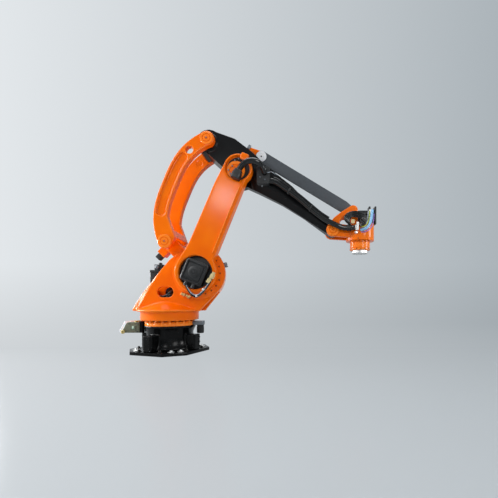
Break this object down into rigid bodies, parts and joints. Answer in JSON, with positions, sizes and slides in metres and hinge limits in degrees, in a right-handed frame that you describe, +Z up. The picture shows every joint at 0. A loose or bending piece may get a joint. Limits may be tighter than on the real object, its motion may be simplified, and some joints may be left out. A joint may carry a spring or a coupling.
{
  "type": "palletising robot arm",
  "caption": "Floor-standing industrial palletising robot arm: turning column, link arm, carbon forearm and parallel rods that keep the tool flange level.",
  "frame": {"origin": "on the floor at the base plate's underside, on the turning axis of the column", "axes": "+X the way the arm reaches at rest, +Z up along the turning axis, link arm on the -Y side"},
  "size_m": [2.0754, 0.7123, 1.801],
  "materials": {
    "orange_casting": "glossy orange paint",
    "orange_light_casting": "glossy orange paint",
    "black_casting": "glossy black paint",
    "black_motor": "satin black paint",
    "carbon_beam": "satin carbon fibre",
    "carbon_rod": "matt carbon plate",
    "dark_steel": "grey paint",
    "rubber": "moulded",
    "black_plastic": "moulded",
    "hose": "smooth sheath",
    "box_paint": "olive paint",
    "connector_metal": "zinc plated",
    "bright_steel": "turned"
  },
  "bodies": {
    "base": {"base_plate": "black_casting", "base_casting": "black_casting", "gear_ring": "orange_casting", "turn_stop_block": "dark_steel", "turn_stop_buffer": "rubber", "connection_box": "box_paint", "connection_bracket": "dark_steel", "box_connectors": "connector_metal"},
    "column": {"column": "orange_casting", "link_flange": "orange_casting", "far_gear": "orange_casting", "far_motor": "black_motor", "turn_motor": "black_motor", "link_stop_block": "dark_steel", "levelling_post": "orange_casting"},
    "link_arm": {"link_arm": "orange_light_casting", "elbow_cover": "orange_light_casting", "link_gear": "dark_steel", "link_motor": "black_motor", "motor_connectors": "connector_metal", "hose_gland": "black_plastic"},
    "crank": {"crank": "orange_light_casting", "crank_buffer": "rubber"},
    "rear_fork": {"rear_fork": "orange_light_casting"},
    "arm": {"arm_beam": "carbon_beam", "hose_clamp": "black_plastic", "elbow_hose": "hose", "arm_hose": "hose"},
    "elbow_lever": {"elbow_lever": "orange_light_casting"},
    "levelling_rod": {"levelling_rod": "carbon_rod"},
    "upper_rod_pin": {"upper_rod_pin": "bright_steel"},
    "upper_rod": {"upper_rod": "carbon_rod"},
    "wrist_pin": {"wrist_pin": "bright_steel"},
    "wrist": {"wrist_fork": "orange_light_casting", "wrist_housing": "orange_light_casting", "wrist_gear": "orange_light_casting", "wrist_motor": "black_motor", "cable_holder": "black_plastic", "hose_collar": "black_plastic"},
    "tool_flange": {"tool_flange": "bright_steel"}
  },
  "joints": [
    {"name": "column_turn", "type": "hinge", "parent": "base", "child": "column", "pos_m": [0, 0, 0], "axis": [0, 0, 1], "range_deg": [-155, 155]},
    {"name": "link_lean", "type": "hinge", "parent": "column", "child": "link_arm", "pos_m": [0.27, 0, 0.64], "axis": [0, 1, 0], "range_deg": [-32, 37]},
    {"name": "arm_swing", "type": "hinge", "parent": "link_arm", "child": "arm", "pos_m": [0.59957, 0, 1.45164], "axis": [0, 1, 0], "range_deg": [-19, 29]},
    {"name": "crank_turn", "type": "hinge", "parent": "link_arm", "child": "crank", "pos_m": [0.27, 0, 0.64], "axis": [0, 1, 0], "range_deg": [-19, 29]},
    {"name": "fork_swing", "type": "hinge", "parent": "crank", "child": "rear_fork", "pos_m": [0.01636, 0, 0.88838], "axis": [0, 1, 0], "range_deg": [-29, 19]},
    {"name": "lever_level", "type": "hinge", "parent": "link_arm", "child": "elbow_lever", "pos_m": [0.59957, 0, 1.45164], "axis": [0, 1, 0], "range_deg": [-37, 32]},
    {"name": "levelling_swing", "type": "hinge", "parent": "column", "child": "levelling_rod", "pos_m": [0.11683, 0, 0.71142], "axis": [0, 1, 0], "range_deg": [-32, 37]},
    {"name": "rod_pin_turn", "type": "hinge", "parent": "elbow_lever", "child": "upper_rod_pin", "pos_m": [0.76291, 0, 1.61215], "axis": [0, 1, 0], "range_deg": [-32, 37]},
    {"name": "rod_swing", "type": "hinge", "parent": "upper_rod_pin", "child": "upper_rod", "pos_m": [0.76291, 0, 1.61215], "axis": [0, 1, 0], "range_deg": [-19, 29]},
    {"name": "wrist_pin_turn", "type": "hinge", "parent": "arm", "child": "wrist_pin", "pos_m": [1.35144, 0, 0.99629], "axis": [0, 1, 0], "range_deg": [-29, 19]},
    {"name": "wrist_level", "type": "hinge", "parent": "wrist_pin", "child": "wrist", "pos_m": [1.35144, 0, 0.99629], "axis": [0, 1, 0], "range_deg": [-37, 32]},
    {"name": "flange_turn", "type": "hinge", "parent": "wrist", "child": "tool_flange", "pos_m": [1.58344, 0, 0.81029], "axis": [0, 0, 1], "range_deg": [-350, 350]}
  ],
  "couplings": [
    {"joint": "crank_turn", "follows": "arm_swing", "ratio": 1},
    {"joint": "fork_swing", "follows": "arm_swing", "ratio": -1},
    {"joint": "rod_swing", "follows": "arm_swing", "ratio": 1},
    {"joint": "wrist_pin_turn", "follows": "arm_swing", "ratio": -1},
    {"joint": "lever_level", "follows": "link_lean", "ratio": -1},
    {"joint": "levelling_swing", "follows": "link_lean", "ratio": 1},
    {"joint": "rod_pin_turn", "follows": "link_lean", "ratio": 1},
    {"joint": "wrist_level", "follows": "link_lean", "ratio": -1}
  ]
}
